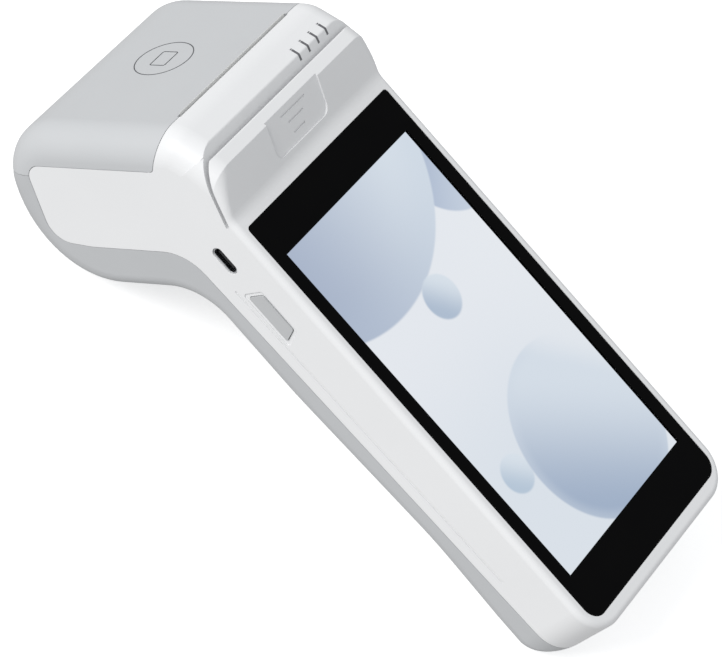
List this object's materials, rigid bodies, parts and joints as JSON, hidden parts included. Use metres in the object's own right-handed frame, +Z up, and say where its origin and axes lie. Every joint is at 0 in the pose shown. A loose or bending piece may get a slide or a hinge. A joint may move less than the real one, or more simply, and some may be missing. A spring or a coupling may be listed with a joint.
{
  "type": "card payment terminal",
  "caption": "Handheld card payment terminal with a long touch screen, a sloped stripe slot, a chip slot and a hinged roll-printer head.",
  "frame": {"origin": "centre of the bounding box in plan, on the plane of the four rubber feet", "axes": "+Z up with the terminal standing on its feet, +Y from the tail towards the printer head, +X to the right of a user reading the screen"},
  "size_m": [0.0847, 0.2196, 0.0714],
  "materials": {
    "white_shell": "fine satin white moulding",
    "cover_grey": "satin pale grey moulding",
    "shell_grey": "fine textured mid grey moulding",
    "key_grey": "satin grey",
    "cover_glass": "flat cover glass with a black printed border",
    "display": "lit liquid crystal panel",
    "smoked_lens": "smoked light windows",
    "foot_rubber": "matte rubber",
    "steel": "plain steel",
    "zinc_frame": "zinc plated sheet",
    "motor_can": "plated can",
    "board_green": "green solder mask",
    "black_plastic": "black moulding",
    "natural_plastic": "natural acetal",
    "pinion_brass": "machined brass",
    "gold_contact": "plated contact",
    "head_ceramic": "glazed ceramic substrate",
    "head_metal": "bare metal",
    "thermal_paper": "smooth receipt paper",
    "core_plastic": "moulded core",
    "cell_wrap": "wrapped cell pack",
    "ferrite": "dark film",
    "cable_film": "amber film cable"
  },
  "bodies": {
    "body": {"front_housing": "white_shell", "back_shell": "shell_grey", "status_light_windows": "smoked_lens", "status_light_board": "board_green", "rubber_feet": "foot_rubber", "case_screws": "steel", "screen_glass": "cover_glass", "glass_gasket": "ferrite", "display_panel": "display", "mid_frame": "zinc_frame", "main_board": "board_green", "shield_cans": "steel", "backup_cell": "head_metal", "sam_card_socket": "black_plastic", "port_board": "board_green", "usb_port": "steel", "usb_port_tongue": "black_plastic", "power_switch": "black_plastic", "battery": "cell_wrap", "battery_contact_block": "black_plastic", "battery_contacts": "gold_contact", "speaker": "black_plastic", "print_head_cable": "cable_film", "board_connector": "black_plastic", "chip_reader_frame": "black_plastic", "chip_contact_block": "black_plastic", "chip_contacts": "gold_contact", "read_head_spring": "steel", "printer_chassis": "zinc_frame", "feed_motor": "motor_can", "tear_bar": "steel", "paper_tray": "natural_plastic", "paper_web": "thermal_paper", "head_spring": "steel", "cover_hinge_pin": "steel"},
    "cover": {"printer_cover": "cover_grey", "contactless_antenna": "gold_contact", "antenna_sheet": "ferrite", "platen_bushings": "natural_plastic"},
    "platen": {"platen_roller": "foot_rubber", "platen_shaft": "steel", "platen_gear": "natural_plastic"},
    "idler": {"idler_gear": "natural_plastic"},
    "pinion": {"motor_pinion": "pinion_brass"},
    "roll": {"paper_roll": "thermal_paper", "roll_core": "core_plastic"},
    "print_head": {"thermal_print_head": "head_metal", "heater_strip": "head_ceramic", "head_pivot_wire": "steel"},
    "power_key": {"power_button": "key_grey"},
    "read_head": {"stripe_read_head": "head_metal"},
    "battery_lid": {"battery_door": "shell_grey"}
  },
  "joints": [
    {"name": "cover_hinge", "type": "hinge", "parent": "body", "child": "cover", "pos_m": [0, 0.10646, 0.01515], "axis": [-1, 0, 0], "range_deg": [0, 80]},
    {"name": "paper_roll_spin", "type": "hinge", "parent": "body", "child": "roll", "pos_m": [0, 0.08092, 0.02794], "axis": [1, 0, 0], "continuous": true},
    {"name": "platen_spin", "type": "hinge", "parent": "cover", "child": "platen", "pos_m": [0, 0.07235, 0.05826], "axis": [1, 0, 0], "continuous": true},
    {"name": "idler_spin", "type": "hinge", "parent": "body", "child": "idler", "pos_m": [0, 0.06123, 0.05532], "axis": [1, 0, 0], "continuous": true},
    {"name": "motor_spin", "type": "hinge", "parent": "body", "child": "pinion", "pos_m": [0, 0.05654, 0.04706], "axis": [1, 0, 0], "continuous": true},
    {"name": "print_head_tilt", "type": "hinge", "parent": "body", "child": "print_head", "pos_m": [0, 0.06383, 0.05804], "axis": [1, 0, 0], "range_deg": [0, 2]},
    {"name": "power_press", "type": "slide", "parent": "body", "child": "power_key", "axis": [1, 0, 0], "range_m": [0, 0.0004]},
    {"name": "read_head_float", "type": "slide", "parent": "body", "child": "read_head", "axis": [0, 0.5795, -0.815], "range_m": [0, 0.0006]},
    {"name": "battery_door_swing", "type": "hinge", "parent": "body", "child": "battery_lid", "pos_m": [0, -0.05077, 0.01252], "axis": [-1, 0, 0], "range_deg": [0, 15]}
  ],
  "couplings": [
    {"joint": "platen_spin", "follows": "paper_roll_spin", "ratio": 5},
    {"joint": "idler_spin", "follows": "paper_roll_spin", "ratio": -3.8462},
    {"joint": "motor_spin", "follows": "paper_roll_spin", "ratio": 8.3333}
  ]
}
